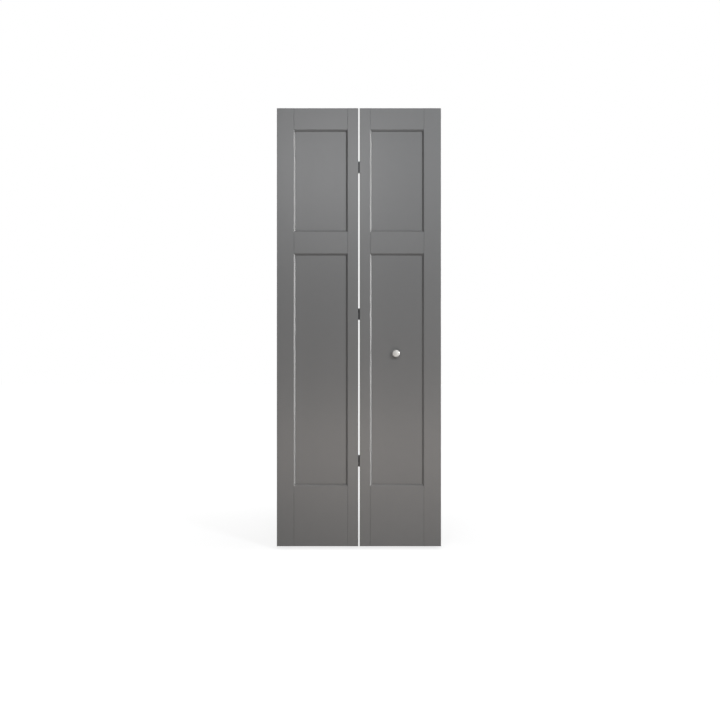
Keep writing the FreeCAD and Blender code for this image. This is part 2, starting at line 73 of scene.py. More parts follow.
print("pieces in the construction model:", len(frame["nodes"]))

# %% [markdown]
# ## Reading sizes from the model
#
# Everything we model has to sit exactly where the construction piece is, so sizes are read from its
# boxes instead of being typed again. Only what a box can't tell is written down here: the moulded edge
# round each panel, which joiners call sticking, the groove that holds the panel, and the small V where
# a rail meets a stile.

# %% Sizes of the leaves
MM = 0.001
STICKING_WIDTH = 7.6 * MM
STICKING_LIP = 2.5 * MM
GROOVE_DEPTH = 10 * MM
PANEL_CLEARANCE = 0.15 * MM
TENON_END_GAP = 0.8 * MM
JOINT_VEE = 1.0 * MM

outer_low, outer_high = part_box("pivot_outer_stile")
hinge_low, hinge_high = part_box("pivot_hinge_stile")
lead_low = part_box("lead_hinge_stile")[0]
door_height = outer_high.z
half_thickness = outer_high.y
panel_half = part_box("pivot_lower_panel")[1].y
lip_half = panel_half + STICKING_LIP
groove_half = panel_half + PANEL_CLEARANCE
gap_middle = (hinge_high.x + lead_low.x) / 2
print(f"door {door_height:.4f} m high, gap {(lead_low.x - hinge_high.x) / MM:.1f} mm")

# %% [markdown]
# ## Drawing a section and pulling it out
#
# A joiner's cutter runs one section along the whole length of a board. We do the same: draw the section
# corner by corner by extruding a single vertex, fill it with one face, and extrude that face along the
# board. A cube with many cuts would get there too, but the drawn section says what the cutter looks
# like and leaves no stray edges.
#
# Operators act on whatever is selected, so work on a piece begins by deselecting all.


# %% Helpers that draw and pull
def start_fresh():
    """Leaves edit mode and deselects everything."""
    if bpy.context.mode != "OBJECT":
        bpy.ops.object.mode_set(mode="OBJECT")
    bpy.ops.object.select_all(action="DESELECT")


def work_on(piece):
    """Makes one piece the only selected and active one."""
    start_fresh()
    piece.select_set(True)
    bpy.context.view_layer.objects.active = piece


def draw_line(name, corners):
    """Starts a piece as a chain of edges through the corners; it stays in edit mode, all selected."""
    start_fresh()
    bpy.ops.mesh.primitive_plane_add(size=MM, location=corners[0])
    piece = bpy.context.object
    piece.name = name
    bpy.ops.object.mode_set(mode="EDIT")
    bpy.ops.mesh.select_mode(type="VERT")
    bpy.ops.mesh.select_all(action="SELECT")
    bpy.ops.mesh.merge(type="CENTER")
    for here, there in zip(corners, corners[1:]):
        bpy.ops.mesh.extrude_region_move(TRANSFORM_OT_translate={"value": there - here})
    bpy.ops.mesh.select_all(action="SELECT")
    return piece


def close_up(piece):
    """Turns all faces outwards, leaves edit mode and puts the piece's origin at the world's."""
    bpy.ops.mesh.select_all(action="SELECT")
    bpy.ops.mesh.normals_make_consistent(inside=False)
    bpy.ops.object.mode_set(mode="OBJECT")
    bpy.ops.object.transform_apply(location=True, rotation=True, scale=True)
    return piece


def pull_section(name, corners, way):
    """A solid made by filling the outline through the corners and extruding it."""
    piece = draw_line(name, corners)
    bpy.ops.mesh.edge_face_add()
    bpy.ops.mesh.extrude_region_move(TRANSFORM_OT_translate={"value": way})
    return close_up(piece)


def block(name, low, high):
    """A box between two opposite corners, to be worked on or to cut with."""
    start_fresh()
    bpy.ops.mesh.primitive_cube_add(size=1, location=(low + high) / 2)
    piece = bpy.context.object
    piece.name = name
    bpy.ops.object.mode_set(mode="EDIT")
    bpy.ops.transform.resize(value=high - low)
    return close_up(piece)


# %% [markdown]
# ## Soft edges, cuts and joins
#
# Nothing that has been sanded and sprayed has a knife edge. A bevel of half a millimetre is enough to
# catch a thin line of light, and that line is what makes a board look painted. Edges are picked by
# their place: both ends have to satisfy a rule. Cuts and joins are Boolean modifiers, applied at once,
# after which the cutter is thrown away.

# %% Helpers that soften, cut and join
PAINTED_EDGE = 0.5 * MM
NEAR = 0.02 * MM
X_AXIS = 0
Z_AXIS = 2


def soften(piece, wanted, radius, segments):
    """Rounds the edges whose two ends both satisfy wanted."""
    work_on(piece)
    bpy.ops.object.mode_set(mode="EDIT")
    bpy.ops.mesh.select_mode(type="EDGE")
    bpy.ops.mesh.select_all(action="DESELECT")
    mesh = bmesh.from_edit_mesh(piece.data)
    for edge in mesh.edges:
        edge.select_set(wanted(edge.verts[0].co, edge.verts[1].co))
    bmesh.update_edit_mesh(piece.data)
    bpy.ops.mesh.bevel(offset=radius, segments=segments, affect="EDGES", clamp_overlap=True)
    bpy.ops.object.mode_set(mode="OBJECT")


def along(axis, *lines):
    """A rule for soften: edges along an axis, on lines given by their two other coordinates."""
    others = [other for other in range(3) if other != axis]

    def wanted(start, end):
        if any(abs(start[other] - end[other]) > NEAR for other in others):
            return False
        return any(all(abs(start[other] - at) < NEAR for other, at in zip(others, line)) for line in lines)

    return wanted


def apply_modifier(piece, kind, **settings):
    """Adds a modifier with these settings and applies it."""
    work_on(piece)
    modifier = piece.modifiers.new(kind.lower(), kind)
    for name, value in settings.items():
        setattr(modifier, name, value)
    bpy.ops.object.modifier_apply(modifier=modifier.name)


def combine(piece, tool, operation):
    """Cuts the tool out of the piece or joins it on, and removes the tool."""
    apply_modifier(piece, "BOOLEAN", operation=operation, object=tool, solver="EXACT")
    bpy.data.objects.remove(tool)


print("painted edges have a bevel of", PAINTED_EDGE / MM, "mm")

# %% [markdown]
# ## Stiles
#
# The stiles are the upright boards of a leaf. On one edge they carry the bevelled sticking and a groove
# for the panels, on the other a small rounded arris. Outer stiles are wider than hinge stiles, because
# two hinge stiles meet in the middle of the door.

# %% Model the stiles of the pivot leaf
ARRIS_RADIUS = 1.5 * MM
ARRIS_SEGMENTS = 4
EDGE_SEGMENTS = 2
OVERCUT = 5 * MM


def stile_corners(edge, lip, foot, grooved):
    """Section of a stile from its plain edge to its moulded lip, at the height foot."""
    toward = math.copysign(1, lip - edge)
    face = lip - toward * STICKING_WIDTH
    bottom = lip - toward * GROOVE_DEPTH
    outline = [(edge, -half_thickness), (face, -half_thickness), (lip, -lip_half)]
    if grooved:
        outline += [(lip, -groove_half), (bottom, -groove_half)]
        outline += [(bottom, groove_half), (lip, groove_half)]
    outline += [(lip, lip_half), (face, half_thickness), (edge, half_thickness)]
    return [Vector((x, y, foot)) for x, y in outline]


def model_stile(name, edge, lip):
    """A grooved stile with its long edges softened."""
    piece = pull_section(name, stile_corners(edge, lip, 0, True), Vector((0, 0, door_height)))
    face = lip - math.copysign(STICKING_WIDTH, lip - edge)
    arrises = [(edge, side * half_thickness) for side in (-1, 1)]
    moulded = [(face, side * half_thickness) for side in (-1, 1)]
    moulded += [(lip, side * lip_half) for side in (-1, 1)]
    soften(piece, along(Z_AXIS, *arrises), ARRIS_RADIUS, ARRIS_SEGMENTS)
    soften(piece, along(Z_AXIS, *moulded), PAINTED_EDGE, EDGE_SEGMENTS)
    return piece


def stile_blank(edge, lip):
    """A stile without its groove and a little too long, to cope the rails against."""
    corners = stile_corners(edge, lip, -OVERCUT, False)
    return pull_section("blank", corners, Vector((0, 0, door_height + 2 * OVERCUT)))


wood = {}
wood["outer_stile"] = model_stile("pivot_outer_stile_painted", outer_low.x, outer_high.x)
wood["hinge_stile"] = model_stile("pivot_hinge_stile_painted", hinge_high.x, hinge_low.x)
for name, piece in wood.items():
    print(name, "faces:", len(piece.data.polygons))

# %% [markdown]
# ## Rails
#
# Rails are the level boards between the stiles. Their ends are coped, which means cut to the negative
# of the stile's sticking, so that the two bevels meet in a clean mitre. A stub tenon runs on into the
# groove. The coped end could be modelled by hand, but cutting the rail with the stile's own section is
# what the machine does, and it always fits.

# %% Model the rails of the pivot leaf
GROOVE_INTO_FACE = GROOVE_DEPTH - STICKING_WIDTH

rail_start = outer_high.x - STICKING_WIDTH + JOINT_VEE
rail_end = hinge_low.x + STICKING_WIDTH - JOINT_VEE
tenon_start = outer_high.x - GROOVE_DEPTH + TENON_END_GAP
tenon_end = hinge_low.x + GROOVE_DEPTH - TENON_END_GAP


def rail_edge(face, toward):
    """Corners of a rail's moulded edge, from front to back; toward is 1 on top and -1 below."""
    lip = face + toward * STICKING_WIDTH
    bottom = face - toward * GROOVE_INTO_FACE
    edge = [(-lip_half, lip), (-groove_half, lip), (-groove_half, bottom)]
    return edge + [(-depth, height) for depth, height in reversed(edge)]


def model_rail(rail):
    """One rail: section, soft edges, coped ends and tenon, where the construction model has it."""
    low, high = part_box("pivot_" + rail)
    below = rail != "bottom_rail"
    above = rail != "top_rail"
    face_low = low.z + STICKING_WIDTH if below else low.z
    face_high = high.z - STICKING_WIDTH if above else high.z
    outline = [(-half_thickness, face_low), (-half_thickness, face_high)]
    outline += rail_edge(face_high, 1) if above else []
    outline += [(half_thickness, face_high), (half_thickness, face_low)]
    outline += reversed(rail_edge(face_low, -1)) if below else []
    corners = [Vector((rail_start, depth, height)) for depth, height in outline]
    length = Vector((rail_end - rail_start, 0, 0))
    piece = pull_section("pivot_" + rail + "_painted", corners, length)

    faces = [(face_low, below, low.z), (face_high, above, high.z)]
    lines = [(side * half_thickness, face) for face, _, _ in faces for side in (-1, 1)]
    lines += [(side * lip_half, lip) for _, moulded, lip in faces for side in (-1, 1) if moulded]
    soften(piece, along(X_AXIS, *lines), PAINTED_EDGE, EDGE_SEGMENTS)
    combine(piece, stile_blank(outer_low.x, outer_high.x), "DIFFERENCE")
    combine(piece, stile_blank(hinge_high.x, hinge_low.x), "DIFFERENCE")

    core_low = face_low + GROOVE_INTO_FACE if below else low.z
    core_high = face_high - GROOVE_INTO_FACE if above else high.z
    tenon_low = Vector((tenon_start, -panel_half, core_low))
    tenon_high = Vector((tenon_end, panel_half, core_high))
    combine(piece, block("tenon", tenon_low, tenon_high), "UNION")
    return piece


for rail in ("bottom_rail", "mid_rail", "top_rail"):
    wood[rail] = model_rail(rail)
    print(rail, "faces:", len(wood[rail].data.polygons))

# %% [markdown]
# ## Panels
#
# A panel is a flat sheet that floats in the grooves, so that it can swell and shrink without splitting
# the frame. Its edges are chamfered to slip into the groove. It starts as a box at its size and the
# chamfer is one bevel.

# %% Model the panels of the pivot leaf
PANEL_CHAMFER = 1.5 * MM


def round_a_face(start, end):
    """The rule for a sheet: edges that go round one of its two broad faces."""
    return abs(start.y - end.y) < NEAR


for panel in ("upper_panel", "lower_panel"):
    low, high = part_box("pivot_" + panel)
    wood[panel] = block("pivot_" + panel + "_painted", low, high)
    soften(wood[panel], round_a_face, PANEL_CHAMFER, segments=1)
    print(panel, "is", [round(size / MM, 1) for size in high - low], "mm")

# %% [markdown]
# ## Turning on the lathe
#
# Knob, screws, washer and the bored holes are all round, so they are turned: draw half the outline from
# the axis outwards, spin it once round, merge the doubles that the spin leaves, and point the faces
# outwards. The outline's corners are pairs of a radius and a distance along the axis.

# %% A helper that turns an outline
RIGHT = Vector((1, 0, 0))
LEFT = Vector((-1, 0, 0))
FRONT = Vector((0, -1, 0))
BACK = Vector((0, 1, 0))
UP = Vector((0, 0, 1))
DOWN = Vector((0, 0, -1))
LATHE_STEPS = 64
SAME_POINT = 0.002 * MM


def turn(name, outline, base, way, side, steps=LATHE_STEPS):
    """A solid turned about way through base; side is any direction square to way."""
    corners = [base + side * radius + way * distance for radius, distance in outline]
    piece = draw_line(name, corners)
    bpy.ops.mesh.spin(steps=steps, angle=2 * math.pi, center=base, axis=way)
    bpy.ops.mesh.select_all(action="SELECT")
    bpy.ops.mesh.remove_doubles(threshold=SAME_POINT)
    return close_up(piece)


def drill(piece, radius, depth, mouth, way):
    """Bores a plain hole."""
    outline = [(0, -OVERCUT), (radius, -OVERCUT), (radius, depth), (0, depth)]
    combine(piece, turn("drill", outline, mouth, way, RIGHT), "DIFFERENCE")


print("a turn has", LATHE_STEPS, "steps")

# %% [markdown]
# ## Bored seats
#
# A sprung pin sits in a nylon sleeve in the top of each outer stile, and a nylon bush in the bottom of
# the pivot leaf takes the floor bracket's pin. Both have a flange let in flush, so each seat is a
# stepped hole. The lead leaf is the mirror image of the pivot leaf, apart from the bush, so it is
# copied before that seat is bored.

# %% Bore the seats and make the lead leaf
SEAT_CLEARANCE = 0.1 * MM
SLEEVE_DIAMETER = 11.16 * MM
SLEEVE_FLANGE = 1.6 * MM
BUSH_DIAMETER = 15.7 * MM
BUSH_FLANGE = 2.0 * MM


def bore_seat(piece, node, mouth, way, diameter, flange):
    """Bores a stepped hole the size of a flanged sleeve, with its clearance."""
    low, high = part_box(node)
    depth = high.z - low.z + SEAT_CLEARANCE
    rim = (high.x - low.x) / 2 + SEAT_CLEARANCE
    body = diameter / 2 + SEAT_CLEARANCE
    step = flange + SEAT_CLEARANCE
    outline = [(0, -OVERCUT), (rim, -OVERCUT), (rim, step), (body, step), (body, depth), (0, depth)]
    combine(piece, turn("seat", outline, mouth, way, RIGHT), "DIFFERENCE")


def copy_of(piece):
    """A copy with its own mesh, in edit mode with all of it selected."""
    work_on(piece)
    bpy.ops.object.duplicate()
    bpy.ops.object.mode_set(mode="EDIT")
    bpy.ops.mesh.select_all(action="SELECT")
    return bpy.context.object


def mirrored_copy(piece, name):
    """A copy on the other side of the gap between the leaves."""
    copy = copy_of(piece)
    copy.name = name
    bpy.ops.transform.resize(value=(-1, 1, 1), center_override=(gap_middle, 0, 0))
    return close_up(copy)


bottom_mouth = Vector((0, 0, 0))
top_mouth = Vector((0, 0, door_height))
bore_seat(wood["outer_stile"], "top_pivot_sleeve", top_mouth, DOWN, SLEEVE_DIAMETER, SLEEVE_FLANGE)
lead_wood = {name: mirrored_copy(piece, "lead_" + name + "_painted") for name, piece in wood.items()}
bore_seat(wood["outer_stile"], "bottom_pivot_bush", bottom_mouth, UP, BUSH_DIAMETER, BUSH_FLANGE)
print("wooden pieces:", len(wood) + len(lead_wood))

# %% [markdown]
# ## The knob
#
# A small turned knob of plated brass: a foot that spreads on the panel, a waisted neck, and a head
# whose low dome runs into a rolled rim. Round stretches are arcs worked out from their radius, so a
# smoother knob only needs more steps. Dome and rim meet without a crease where the rim's arc touches
# the dome's arc from inside.

# %% Turn the knob
KNOB_RIM = 5 * MM
KNOB_CROWN = 2.2 * MM
KNOB_NECK = 13 * MM
KNOB_FOOT = 20 * MM
KNOB_FOOT_HEIGHT = 2.5 * MM
KNOB_FOOT_EDGE = 0.6 * MM
KNOB_BORE = 4.1 * MM
KNOB_BORE_DEPTH = 11.1 * MM
KNOB_STEPS = 96
ARC_STEPS = 10
FOOT_EDGE_STEPS = 3


def arc(centre, radius, start, end, steps=ARC_STEPS):
    """Points on an arc from one angle to another, in degrees."""
    angles = [math.radians(start + (end - start) * step / steps) for step in range(steps + 1)]
    across, along_axis = centre
    return [(across + radius * math.cos(angle), along_axis + radius * math.sin(angle)) for angle in angles]


def arc_through(first, middle, last):
    """Points on the arc through three points, for a hollow that looks away from the axis."""
    first, middle, last = Vector(first), Vector(middle), Vector(last)
    half = middle - first
    whole = last - first
    across = whole.y * half.length_squared - half.y * whole.length_squared
    along_axis = half.x * whole.length_squared - whole.x * half.length_squared
    centre = first + Vector((across, along_axis)) / (2 * half.cross(whole))
    start, end = [math.degrees(math.atan2(*(point - centre).yx)) % 360 for point in (first, last)]
    return arc(centre, (first - centre).length, start, end)


knob_low, knob_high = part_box("knob")
knob_centre = (knob_low + knob_high) / 2
knob_seat = Vector((knob_centre.x, knob_high.y, knob_centre.z))
knob_radius = (knob_high.x - knob_low.x) / 2
knob_depth = knob_high.y - knob_low.y
foot_radius = KNOB_FOOT / 2
foot_inner = foot_radius - KNOB_FOOT_EDGE
roll = knob_depth - KNOB_CROWN - KNOB_RIM
shoulder = knob_radius - KNOB_RIM
under = (shoulder, roll - KNOB_RIM)
waist = (KNOB_NECK / 2, (KNOB_FOOT_HEIGHT + under[1]) / 2)
crown_reach = (shoulder ** 2 + KNOB_CROWN ** 2) / (2 * KNOB_CROWN)
crown_radius = crown_reach + KNOB_RIM
crown_edge = math.degrees(math.acos(shoulder / crown_reach))

outline = [(0, 0), (foot_radius, 0)]
outline += arc((foot_inner, KNOB_FOOT_HEIGHT - KNOB_FOOT_EDGE), KNOB_FOOT_EDGE, 0, 90, FOOT_EDGE_STEPS)
outline += arc_through((foot_inner - KNOB_FOOT_EDGE, KNOB_FOOT_HEIGHT), waist, under)
outline += arc((shoulder, roll), KNOB_RIM, -90, crown_edge, 2 * ARC_STEPS)[1:]
outline += arc((0, knob_depth - crown_radius), crown_radius, crown_edge, 90)[1:]
knob = turn("knob_turned", outline, knob_seat, FRONT, RIGHT, KNOB_STEPS)
drill(knob, KNOB_BORE / 2, KNOB_BORE_DEPTH, knob_seat, FRONT)
print("knob", round(2 * knob_radius / MM, 1), "mm across, faces:", len(knob.data.polygons))

# %% [markdown]
# ## Screws
#
# Six hinge plates are held by three countersunk screws each, and the knob by one round-headed screw and
# a washer from behind. Their heads have a cross recess for the driver. It is cut once with two tapered
# bars. The finished hinge screw is then copied to each place and the copies of a leaf are joined into
# one group, as the model has them.

# %% Make the hinge screws
SCREW_HEAD = 6.4 * MM
SCREW_HEAD_HEIGHT = 1.5 * MM
SCREW_SHANK = 3.4 * MM
SCREW_LENGTH = 24 * MM
SCREW_TIP = 5 * MM
SCREW_MARGIN = 6.5 * MM
SCREW_EDGE = 0.15 * MM
PLATE_THICKNESS = 1.6 * MM
RECESS_WIDTH = 1.0 * MM
RECESS_DEPTH = 1.4 * MM
RECESS_OVERCUT = 1.0 * MM
RECESS_TAPER = 0.45
HINGE_RECESS_SHARE = 0.6
SMALL_STEPS = 40


def recess_bar(base, way, reach, across):
    """One tapered bar of the driver's cross: a box whose inner face is drawn in."""
    outside = base - way * RECESS_OVERCUT
    long_half = across * reach
    short_half = way.cross(across) * RECESS_WIDTH / 2
    signs = ((-1, -1), (1, -1), (1, 1), (-1, 1))
    piece = draw_line("bar", [outside + x * long_half + y * short_half for x, y in signs])
    bpy.ops.mesh.edge_face_add()
    inward = way * (RECESS_DEPTH + RECESS_OVERCUT)
    bpy.ops.mesh.extrude_region_move(TRANSFORM_OT_translate={"value": inward})
    bpy.ops.transform.resize(value=(RECESS_TAPER,) * 3, center_override=base + way * RECESS_DEPTH)
    return close_up(piece)


def cut_cross(piece, base, way, reach, across):
    """Cuts a cross recess into a screw head whose top is at base."""
    for bar in (across, way.cross(across)):
        combine(piece, recess_bar(base, way, reach, bar), "DIFFERENCE")


def screw_places():
    """The screws of the pivot leaf's hinge plates: two by the back edge and one by the front edge."""
    face = hinge_high.x + PLATE_THICKNESS
    back = half_thickness - SCREW_MARGIN
    places = []
    for hinge in ("bottom", "middle", "top"):
        low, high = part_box(hinge + "_hinge_pivot_plate")
        places.append(Vector((face, back, low.z + SCREW_MARGIN)))
        places.append(Vector((face, low.y + SCREW_MARGIN, (low.z + high.z) / 2)))
        places.append(Vector((face, back, high.z - SCREW_MARGIN)))
    return places


def moved_copy(piece, way):
    """A copy moved in its mesh."""
    copy = copy_of(piece)
    bpy.ops.transform.translate(value=way)
    bpy.ops.object.mode_set(mode="OBJECT")
    return copy


first_place, *other_places = screw_places()
head = SCREW_HEAD / 2
shank = SCREW_SHANK / 2
outline = [(0, 0), (head - SCREW_EDGE, 0), (head, SCREW_EDGE), (shank, SCREW_HEAD_HEIGHT)]
outline += [(shank, SCREW_LENGTH - SCREW_TIP), (0, SCREW_LENGTH)]
hinge_screw = turn("hinge_screw", outline, first_place, LEFT, UP, SMALL_STEPS)
cut_cross(hinge_screw, first_place, LEFT, head * HINGE_RECESS_SHARE, (UP + BACK).normalized())
copies = [moved_copy(hinge_screw, place - first_place) for place in other_places]
work_on(hinge_screw)
for copy in copies:
    copy.select_set(True)
bpy.ops.object.join()
hinge_screw.name = "pivot_hinge_screws_crossed"
lead_screws = mirrored_copy(hinge_screw, "lead_hinge_screws_crossed")
print("screws on each leaf:", len(copies) + 1)

# %% [markdown]
# The knob's screw comes from behind through a washer. Its head is a low dome, so the outline gets an
# arc. The panel gets a hole with a little room for the screw, as the washer has.

# %% Make the knob screw and its washer
KNOB_SCREW = 4 * MM
KNOB_SCREW_ROOM = 0.4 * MM
WASHER_EDGE = 0.25 * MM
DOME_STEPS = 5
KNOB_RECESS_SHARE = 0.5
DRILL_DEPTH = 20 * MM

washer_low, washer_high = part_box("knob_washer")
outer = (washer_high.x - washer_low.x) / 2
thick = washer_high.y - washer_low.y
hole = KNOB_SCREW / 2 + KNOB_SCREW_ROOM
washer_seat = Vector((knob_centre.x, washer_low.y, knob_centre.z))
outline = [(hole, 0), (outer - WASHER_EDGE, 0), (outer, WASHER_EDGE)]
outline += [(outer, thick - WASHER_EDGE), (outer - WASHER_EDGE, thick), (hole, thick), (hole, 0)]
washer = turn("knob_washer_pressed", outline, washer_seat, BACK, RIGHT)

screw_low, screw_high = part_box("knob_screw")
head_seat = Vector((knob_centre.x, washer_high.y, knob_centre.z))
head = (screw_high.x - screw_low.x) / 2
dome = screw_high.y - washer_high.y
reach = washer_high.y - screw_low.y
edge = dome / 2
outline = [(0, -reach), (KNOB_SCREW / 2, -reach), (KNOB_SCREW / 2, 0), (head, 0), (head, dome - edge)]
outline += arc((head - edge, dome - edge), edge, 0, 90, DOME_STEPS)[1:]
outline += [(0, dome)]
knob_screw = turn("knob_screw_domed", outline, head_seat, BACK, RIGHT, SMALL_STEPS)
dome_top = head_seat + BACK * dome
cut_cross(knob_screw, dome_top, FRONT, head * KNOB_RECESS_SHARE, (UP + RIGHT).normalized())
drill(lead_wood["lower_panel"], hole, DRILL_DEPTH, knob_seat, BACK)
print("washer", round(2 * outer / MM, 1), "mm, screw head", round(2 * head / MM, 1), "mm")

# %% [markdown]
# ## Building finishes from nodes
#
# A finish is a small network of shader nodes. Writing out every node and link makes long code, so a few
# helpers do it: they add a node and feed its sockets, do sums, spread a range, mix two colours and make
# noise.
#
# All patterns are laid out on Object coordinates. Every piece has its origin at the world's, so a metre
# of pattern is a metre of door, and the pattern stays on its piece when the door folds.

# %% Helpers that wire nodes
MIX_AMOUNT = 0
MIX_FIRST = 6
MIX_SECOND = 7
MIX_RESULT = 2


def feed(tree, socket, value):
    """Links a socket to another node's output, or else sets it to a value."""
    if isinstance(value, bpy.types.NodeSocket):
        tree.links.new(value, socket)
    else:
        socket.default_value = value


def fill(tree, sockets, **values):
    """Feeds several sockets; in their names, _ stands for a space."""
    for name, value in values.items():
        feed(tree, sockets[name.replace("_", " ")], value)


def put(tree, kind, **values):
    """Adds a shader node: names in lower case set its options, capitalised ones feed its sockets."""
    made = tree.nodes.new("ShaderNode" + kind)
    for name in [name for name in values if name.islower()]:
        setattr(made, name, values.pop(name))
    fill(tree, made.inputs, **values)
    return made


def sums(tree, operation, first, second):
    """The result of a Math node."""
    made = put(tree, "Math", operation=operation)
    feed(tree, made.inputs[0], first)
    feed(tree, made.inputs[1], second)
    return made.outputs[0]


def spread(tree, value, low, high, new_low=0, new_high=1):
    """A value whose range from low to high is spread over a new range, and kept inside it."""
    made = put(tree, "MapRange", Value=value, From_Min=low, From_Max=high,
               To_Min=new_low, To_Max=new_high)
    return made.outputs["Result"]


def tint(tree, amount, first, second, share=1):
    """A colour that goes from the first to the second with a share of the amount."""
    made = put(tree, "Mix", data_type="RGBA")
    feed(tree, made.inputs[MIX_AMOUNT], sums(tree, "MULTIPLY", amount, share))
    feed(tree, made.inputs[MIX_FIRST], first)
    feed(tree, made.inputs[MIX_SECOND], second)
    return made.outputs[MIX_RESULT]


def place_of(tree):
    """Object coordinates, in metres."""
    return put(tree, "TexCoord").outputs["Object"]


def noise(tree, **values):
    """Noise on Object coordinates, from 0 to 1."""
    return put(tree, "TexNoise", Vector=place_of(tree), **values).outputs["Fac"]


def new_group(name, takes, gives):
    """An empty node group: its tree, the sockets that it is given and the ones that it has to fill."""
    tree = bpy.data.node_groups.new(name, "ShaderNodeTree")
    for way, labels in (("INPUT", takes), ("OUTPUT", gives)):
        for label, kind in labels.items():
            tree.interface.new_socket(label, in_out=way, socket_type="NodeSocket" + kind)
    return tree, tree.nodes.new("NodeGroupInput").outputs, tree.nodes.new("NodeGroupOutput").inputs


# %% [markdown]
# ## Uneven tone
#
# No coat is one colour all over: paint dries a little thicker here and thinner there, plating clouds,
# plastic yellows. The first group scales a colour up and down with broad and fine noise. Every finish
# of the door uses it, so it is built once and placed in each with its own values.

# %% Group: uneven tone
FINE_PER_BROAD = 9

tree, given, result = new_group(
    "uneven_tone", {"Colour": "Color", "Patches": "Float", "Amount": "Float"}, {"Colour": "Color"})
broad = noise(tree, Scale=given["Patches"], Detail=2)
fine = noise(tree, Scale=sums(tree, "MULTIPLY", given["Patches"], FINE_PER_BROAD), Detail=3)
swing = sums(tree, "SUBTRACT", sums(tree, "ADD", broad, fine), 1)
scale = sums(tree, "ADD", sums(tree, "MULTIPLY", swing, given["Amount"]), 1)
scaled = put(tree, "VectorMath", operation="SCALE", Vector=given["Colour"], Scale=scale)
fill(tree, result, Colour=scaled.outputs["Vector"])
uneven_tone = tree
print(tree.name, "has", len(tree.nodes), "nodes")

# %% [markdown]
# ## Long streaks
#
# Brushed paint, rolled sheet, drawn wire and wood grain all run one way. Noise gets that look when its
# coordinates are multiplied by a large number across the run and by a small one along it.

# %% Group: long streaks
tree, given, result = new_group("long_streaks", {"Stretch": "Vector"}, {"Value": "Float"})
stretched = put(tree, "VectorMath", operation="MULTIPLY", Vector=place_of(tree))
feed(tree, stretched.inputs[1], given["Stretch"])
streaks = put(tree, "TexNoise", Vector=stretched.outputs["Vector"], Scale=1, Detail=4, Roughness=0.6)
fill(tree, result, Value=streaks.outputs["Fac"])
long_streaks = tree
print(tree.name, "has", len(tree.nodes), "nodes")

# %% [markdown]
# ## Soft and worn edges
#
# The Bevel node looks round each point for edges and gives the normal that a rounded edge would have.
# Where that normal leans away from the real one there is an edge, and edges are where a coat wears
# first. Noise breaks the wear up, or it would look like an outline.

# %% Group: worn edges
EDGE_LEAN = 0.93
WEAR_PATCHES = 90

tree, given, result = new_group("worn_edges", {"Radius": "Float"}, {"Mask": "Float", "Normal": "Vector"})
rounded = put(tree, "Bevel", samples=4, Radius=given["Radius"]).outputs["Normal"]
lean = put(tree, "VectorMath", operation="DOT_PRODUCT", Vector=rounded)
feed(tree, lean.inputs[1], put(tree, "NewGeometry").outputs["Normal"])
near_edge = spread(tree, lean.outputs["Value"], low=1, high=EDGE_LEAN)
broken = spread(tree, noise(tree, Scale=WEAR_PATCHES, Detail=4), low=0.42, high=0.62)
fill(tree, result, Mask=sums(tree, "MULTIPLY", near_edge, broken), Normal=rounded)
worn_edges = tree
print(tree.name, "has", len(tree.nodes), "nodes")

# %% [markdown]
# ## Settled dust
#
# Dust lies on whatever looks up: the ledges under the panels, the tops of the leaves, the upper side of
# a knuckle. The height of the normal finds those places, and clouds of noise keep the dust from being a
# flat film. On the paint the same mask also paints in light from above on the ledges.

# %% Group: settled dust
DUST_CLOUDS = 22

tree, given, result = new_group("settled_dust", {"Cover": "Float"}, {"Mask": "Float"})
normal = put(tree, "NewGeometry").outputs["Normal"]
upward = spread(tree, put(tree, "SeparateXYZ", Vector=normal).outputs["Z"], low=0.3, high=0.95)
clouds = spread(tree, noise(tree, Scale=DUST_CLOUDS, Detail=5, Roughness=0.65), low=0.3, high=0.7)
lying = sums(tree, "MULTIPLY", upward, clouds)
fill(tree, result, Mask=sums(tree, "MULTIPLY", lying, given["Cover"]))
settled_dust = tree
print(tree.name, "has", len(tree.nodes), "nodes")

# %% [markdown]
# ## Marks of hands
#
# Fingers that pull a knob leave faint marks on it and on the panel round it. The group fades blots of
# noise out with the distance from a centre. They only change the gloss, as grease on satin paint does.

# %% Group: hand marks
FINGER_BLOTS = 70

tree, given, result = new_group("hand_marks", {"Centre": "Vector", "Reach": "Float"}, {"Mask": "Float"})
away = put(tree, "VectorMath", operation="DISTANCE", Vector=place_of(tree))
feed(tree, away.inputs[1], given["Centre"])
nearness = sums(tree, "SUBTRACT", 1, sums(tree, "DIVIDE", away.outputs["Value"], given["Reach"]))
blots = noise(tree, Scale=FINGER_BLOTS, Detail=3, Distortion=0.8)
touched = spread(tree, blots, low=0.48, high=0.6)
within = spread(tree, nearness, low=0, high=0.7)
fill(tree, result, Mask=sums(tree, "MULTIPLY", within, touched))
hand_marks = tree
print(tree.name, "has", len(tree.nodes), "nodes")

# %% [markdown]
# ## Fine grain
#
# Sprayed paint dries with the skin of an orange, moulded plastic takes the grain of its mould, and
# plating has a bloom. Two sizes of noise added up give a height that a Bump node turns into a fine
# texture.

# %% Group: fine grain
SMALLER_GRAIN = 2.6
SMALLER_SHARE = 0.5

tree, given, result = new_group("fine_grain", {"Scale": "Float"}, {"Height": "Float"})
coarse = noise(tree, Scale=given["Scale"], Detail=1)
small = noise(tree, Scale=sums(tree, "MULTIPLY", given["Scale"], SMALLER_GRAIN), Detail=1)
fill(tree, result, Height=sums(tree, "ADD", coarse, sums(tree, "MULTIPLY", small, SMALLER_SHARE)))
fine_grain = tree
print(tree.name, "has", len(tree.nodes), "nodes")

# %% [markdown]
# ## Painted shade in creases
#
# The joint between rail and stile, the root of a moulding and the gap with the hinges lie in shade, and
# this group paints that shade into the colour. The Ambient Occlusion node tells how shut in a point is,
# up to a distance, and the group turns that into a mask of painted shade.

# %% Group: painted shade in creases
SHUT_IN = 0.35
OPEN_AIR = 0.85

